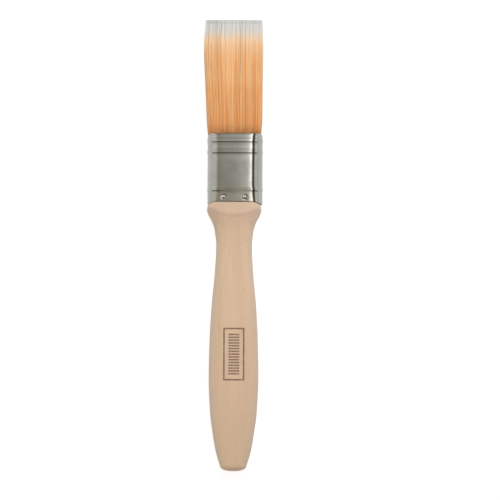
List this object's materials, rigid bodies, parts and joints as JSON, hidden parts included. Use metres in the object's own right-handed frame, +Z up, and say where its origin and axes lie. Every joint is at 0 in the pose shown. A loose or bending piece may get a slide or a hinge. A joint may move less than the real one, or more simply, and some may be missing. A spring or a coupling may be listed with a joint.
{
  "type": "flat paint brush",
  "caption": "Flat hand paint brush: synthetic filaments in a beaded tinplate ferrule, nailed to a scooped, beaver-tail beech handle.",
  "frame": {"origin": "on the surface that the brush lies on, under the middle of its bounding box", "axes": "+X across the brush, +Y along it from the handle's tail to the filament tips, +Z up through its thickness, out of the front face"},
  "size_m": [0.0272, 0.208, 0.0124],
  "materials": {
    "beech": "sanded bare beech, straight fine grain with short ray flecks",
    "tinplate": "tin-plated steel sheet, smooth, slightly cloudy mirror",
    "nail_steel": "bright drawn steel, domed head",
    "epoxy": "cast amber epoxy",
    "softwood": "sawn softwood",
    "filament": "satin orange synthetic filament that fades to white tips"
  },
  "bodies": {
    "root": {"handle": "beech", "ferrule": "tinplate", "nail_front_left": "nail_steel", "nail_front_right": "nail_steel", "nail_back_left": "nail_steel", "nail_back_right": "nail_steel", "epoxy_setting": "epoxy", "spacer_plug": "softwood", "filament_pack_front": "filament", "filament_pack_back": "filament"}
  },
  "joints": []
}
